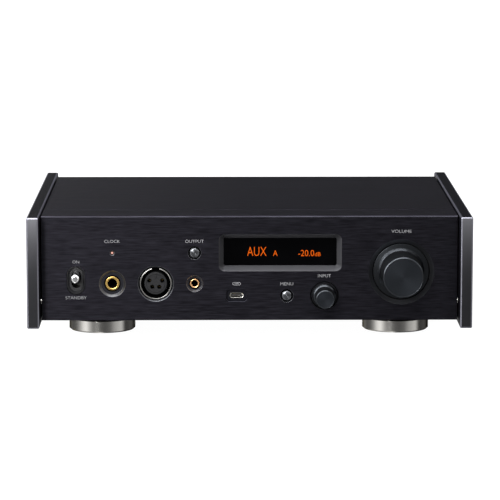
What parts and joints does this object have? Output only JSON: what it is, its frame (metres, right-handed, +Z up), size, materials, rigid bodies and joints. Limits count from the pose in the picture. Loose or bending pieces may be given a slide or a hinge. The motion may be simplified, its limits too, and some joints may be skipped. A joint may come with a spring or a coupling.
{
  "type": "desktop dac",
  "caption": "Desktop digital-to-analogue converter with headphone sockets, a display, knobs and thick side panels, on pinpoint feet.",
  "frame": {"origin": "on the resting plane of the feet, under the middle of the overall box", "axes": "+X to the right of a person facing the front, front faces -Y, +Z up"},
  "size_m": [0.29, 0.249, 0.0845],
  "materials": {
    "anodised_panels": "black anodised, fine horizontal hairline brushing",
    "side_panels": "black anodised, bead-blasted satin",
    "knobs": "black anodised, turned satin",
    "coated_steel": "fine-textured black powder coat",
    "bare_steel": "zinc-plated sheet and turned steel",
    "display_window": "smoked, glossy",
    "black_plastic": "moulded, matt",
    "button_caps": "spun, with fine turning marks",
    "chromed_metal": "polished plate",
    "lamp": "light pipe, lit warm",
    "gold_plate": "polished gold plate",
    "circuit_board": "green solder mask",
    "socket_metal": "nickel plate",
    "transformers": "amber wrapping tape",
    "capacitors": "printed-free shrink sleeve",
    "heat_sink": "extruded, clear",
    "feet": "satin nickel, turned",
    "foot_spikes": "turned steel"
  },
  "bodies": {
    "casing": {"front_panel": "anodised_panels", "top_cover": "anodised_panels", "side_panel_left": "side_panels", "side_panel_right": "side_panels", "bottom_plate": "coated_steel", "rear_panel": "coated_steel", "front_subpanel": "bare_steel", "display_window": "display_window", "display_module": "black_plastic", "volume_encoder": "black_plastic", "input_encoder": "black_plastic", "output_switch": "black_plastic", "menu_switch": "black_plastic", "power_escutcheon": "black_plastic", "power_switch_body": "black_plastic", "clock_lamp": "lamp", "phone_jack_body": "black_plastic", "phone_jack_ring": "gold_plate", "balanced_jack_body": "black_plastic", "balanced_jack_ring": "gold_plate", "xlr_shell": "chromed_metal", "xlr_insert": "black_plastic", "front_usb_shell": "chromed_metal", "front_usb_tongue": "black_plastic", "control_board": "circuit_board", "mains_inlet": "black_plastic", "coaxial_inputs": "socket_metal", "line_inputs": "socket_metal", "line_outputs": "socket_metal", "clock_socket": "socket_metal", "trigger_jack": "black_plastic", "rear_usb_port": "chromed_metal", "optical_receiver_1": "black_plastic", "optical_receiver_2": "black_plastic", "balanced_output_left": "socket_metal", "balanced_output_right": "socket_metal", "main_board": "circuit_board", "digital_board": "circuit_board", "transformer_front": "transformers", "transformer_rear": "transformers", "filter_capacitor_1": "capacitors", "filter_capacitor_2": "capacitors", "heat_sink": "heat_sink", "foot_cup_front_left": "feet", "foot_cup_front_right": "feet", "foot_cup_rear": "feet", "foot_spike_front_left": "foot_spikes", "foot_spike_front_right": "foot_spikes", "foot_spike_rear": "foot_spikes"},
    "volume_control": {"volume_knob": "knobs", "volume_shaft": "bare_steel"},
    "input_plunger": {"input_plunger": "black_plastic"},
    "input_control": {"input_knob": "knobs", "input_shaft": "bare_steel"},
    "output_button": {"output_button": "button_caps"},
    "menu_button": {"menu_button": "button_caps"},
    "power_lever": {"power_lever": "chromed_metal"},
    "optical_shutter_1": {"optical_shutter_1": "black_plastic"},
    "optical_shutter_2": {"optical_shutter_2": "black_plastic"}
  },
  "joints": [
    {"name": "volume_turn", "type": "hinge", "parent": "casing", "child": "volume_control", "pos_m": [0.0994, -0.1, 0.0463], "axis": [0, -1, 0], "continuous": true},
    {"name": "input_push", "type": "slide", "parent": "casing", "child": "input_plunger", "axis": [0, 1, 0], "range_m": [0, 0.0006], "stiffness_N_per_m": 1200},
    {"name": "input_turn", "type": "hinge", "parent": "input_plunger", "child": "input_control", "pos_m": [0.0491, -0.1, 0.0307], "axis": [0, -1, 0], "continuous": true},
    {"name": "output_push", "type": "slide", "parent": "casing", "child": "output_button", "axis": [0, 1, 0], "range_m": [0, 0.0007], "stiffness_N_per_m": 900},
    {"name": "menu_push", "type": "slide", "parent": "casing", "child": "menu_button", "axis": [0, 1, 0], "range_m": [0, 0.0007], "stiffness_N_per_m": 900},
    {"name": "power_toggle", "type": "hinge", "parent": "casing", "child": "power_lever", "pos_m": [-0.1137, -0.086, 0.0409], "axis": [1, 0, 0], "range_deg": [0, 12]},
    {"name": "shutter_1_swing", "type": "hinge", "parent": "casing", "child": "optical_shutter_1", "pos_m": [-0.026, 0.1066, 0.0399], "axis": [-1, 0, 0], "range_deg": [0, 82], "stiffness_Nm_per_rad": 0.00005, "springref_deg": -28.65},
    {"name": "shutter_2_swing", "type": "hinge", "parent": "casing", "child": "optical_shutter_2", "pos_m": [-0.026, 0.1066, 0.0619], "axis": [-1, 0, 0], "range_deg": [0, 82], "stiffness_Nm_per_rad": 0.00005, "springref_deg": -28.65}
  ]
}
